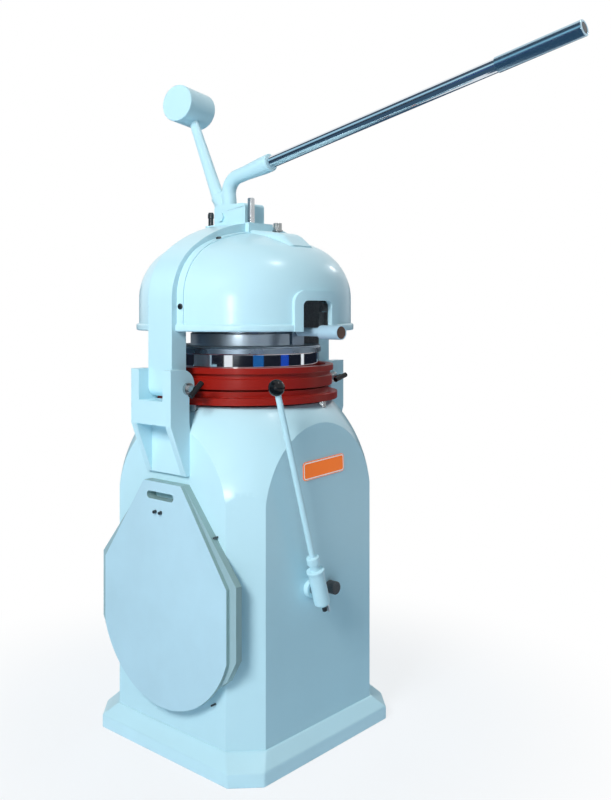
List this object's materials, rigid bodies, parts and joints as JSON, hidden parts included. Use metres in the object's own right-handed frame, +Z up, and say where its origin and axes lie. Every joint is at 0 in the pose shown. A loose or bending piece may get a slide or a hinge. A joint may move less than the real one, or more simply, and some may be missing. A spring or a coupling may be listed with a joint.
{
  "type": "dough divider rounder",
  "caption": "Hand-operated bakery press with a lever and counterweight that flattens dough, cuts it with a knife star under a dome and rounds the pieces on an orbiting table.",
  "frame": {"origin": "on the floor under the press axis, in the middle of the plinth's underside", "axes": "+Z up, -Y is the front with the rounding lever, -X is the side with the moulding boards"},
  "size_m": [0.662, 1.2743, 1.7538],
  "materials": {
    "white_paint": "glossy white enamel",
    "red_paint": "glossy red enamel",
    "badge_orange": "plain orange enamel",
    "polished_steel": "polished",
    "steel": "machined steel",
    "bare_aluminium": "machined aluminium",
    "dark_iron": "grey cast iron",
    "bronze": "bearing bronze",
    "black_plastic": "moulded black",
    "board_plastic": "cutting board polyethylene",
    "black_rubber": "moulded rubber"
  },
  "bodies": {
    "machine_frame": {"base_plinth": "white_paint", "pedestal_body": "white_paint", "rear_cover": "white_paint", "rear_cover_screws": "steel", "badge_plate": "badge_orange", "cable_gland": "black_plastic", "shaft_bushing": "white_paint", "lever_bumper": "dark_iron", "table_bed": "red_paint", "bed_bolts": "steel", "spindle_housing": "dark_iron", "spindle_bearings": "steel", "drive_belt": "black_rubber", "motor": "dark_iron", "motor_plate": "dark_iron", "arch_frame": "white_paint", "front_dome_shell": "white_paint", "rear_dome_shell": "white_paint", "dome_screws": "steel", "crown_bolt": "steel", "ram_guide_bush": "bronze", "left_bracket": "white_paint", "right_bracket": "white_paint", "arch_pins": "steel", "pin_clips": "steel", "lever_block": "white_paint", "lever_stop_pin": "steel", "oil_cup": "black_plastic", "board_pegs": "steel"},
    "lever_arm": {"press_lever": "white_paint", "sector_gear": "steel", "lever_tube": "polished_steel", "lever_grip": "polished_steel", "counterweight_rod": "white_paint", "counterweight": "white_paint", "pivot_shaft": "steel"},
    "ram": {"press_ram": "steel", "knife_star": "steel"},
    "press_head": {"press_ring": "polished_steel", "press_drum": "bare_aluminium", "inner_pistons": "bare_aluminium", "middle_pistons": "bare_aluminium", "outer_pistons": "bare_aluminium"},
    "head_lock": {"lock_ring": "steel", "lock_handle": "steel"},
    "clutch_lever": {"rounding_lever": "white_paint", "lever_ball": "black_plastic", "clutch_shaft": "steel", "shift_fork": "steel"},
    "spindle": {"eccentric_spindle": "steel", "spindle_nut": "steel"},
    "collar": {"clutch_collar": "steel"},
    "loose_pulley": {"driven_pulley": "dark_iron"},
    "motor_drive": {"motor_pulley": "steel"},
    "table": {"rounding_table": "red_paint", "moulding_plate": "board_plastic"},
    "left_crank": {"guide_crank_left": "steel"},
    "right_crank": {"guide_crank_right": "steel"},
    "inner_board": {"rear_board": "board_plastic"},
    "outer_board": {"front_board": "board_plastic"}
  },
  "joints": [
    {"name": "press_lever_turn", "type": "hinge", "parent": "machine_frame", "child": "lever_arm", "pos_m": [0, 0.058, 1.365], "axis": [1, 0, 0], "range_deg": [-48, 20]},
    {"name": "ram_travel", "type": "slide", "parent": "machine_frame", "child": "ram", "axis": [0, 0, 1], "range_m": [-0.017, 0.0405]},
    {"name": "press_ring_lift", "type": "slide", "parent": "ram", "child": "press_head", "axis": [0, 0, 1], "range_m": [0, 0.016]},
    {"name": "lock_handle_turn", "type": "hinge", "parent": "press_head", "child": "head_lock", "pos_m": [0, 0, 1.053], "axis": [0, 0, 1], "range_deg": [-6, 6]},
    {"name": "rounding_lever_turn", "type": "hinge", "parent": "machine_frame", "child": "clutch_lever", "pos_m": [-0.048, -0.3, 0.415], "axis": [0, 1, 0], "range_deg": [0, 36]},
    {"name": "spindle_spin", "type": "hinge", "parent": "machine_frame", "child": "spindle", "pos_m": [0, 0, 0.6], "axis": [0, 0, 1], "continuous": true},
    {"name": "collar_slide", "type": "slide", "parent": "spindle", "child": "collar", "axis": [0, 0, 1], "range_m": [-0.031, 0]},
    {"name": "table_orbit", "type": "hinge", "parent": "spindle", "child": "table", "pos_m": [0.009, 0, 0.895], "axis": [0, 0, 1], "continuous": true},
    {"name": "left_crank_spin", "type": "hinge", "parent": "machine_frame", "child": "left_crank", "pos_m": [-0.15, 0, 0.875], "axis": [0, 0, 1], "continuous": true},
    {"name": "right_crank_spin", "type": "hinge", "parent": "machine_frame", "child": "right_crank", "pos_m": [0.15, 0, 0.875], "axis": [0, 0, 1], "continuous": true},
    {"name": "loose_pulley_spin", "type": "hinge", "parent": "machine_frame", "child": "loose_pulley", "pos_m": [0, 0, 0.3565], "axis": [0, 0, 1], "continuous": true},
    {"name": "motor_spin", "type": "hinge", "parent": "machine_frame", "child": "motor_drive", "pos_m": [0, 0.165, 0.3565], "axis": [0, 0, 1], "continuous": true},
    {"name": "rear_board_pull", "type": "slide", "parent": "machine_frame", "child": "inner_board", "axis": [-1, 0, 0], "range_m": [0, 0.06]},
    {"name": "front_board_pull", "type": "slide", "parent": "inner_board", "child": "outer_board", "axis": [-1, 0, 0], "range_m": [0, 0.06]}
  ],
  "couplings": [
    {"joint": "ram_travel", "follows": "press_lever_turn", "m_per_rad": -0.048},
    {"joint": "collar_slide", "follows": "rounding_lever_turn", "m_per_rad": -0.04934},
    {"joint": "table_orbit", "follows": "spindle_spin", "ratio": -1},
    {"joint": "left_crank_spin", "follows": "spindle_spin", "ratio": 1},
    {"joint": "right_crank_spin", "follows": "spindle_spin", "ratio": 1},
    {"joint": "motor_spin", "follows": "loose_pulley_spin", "ratio": 2.5}
  ]
}
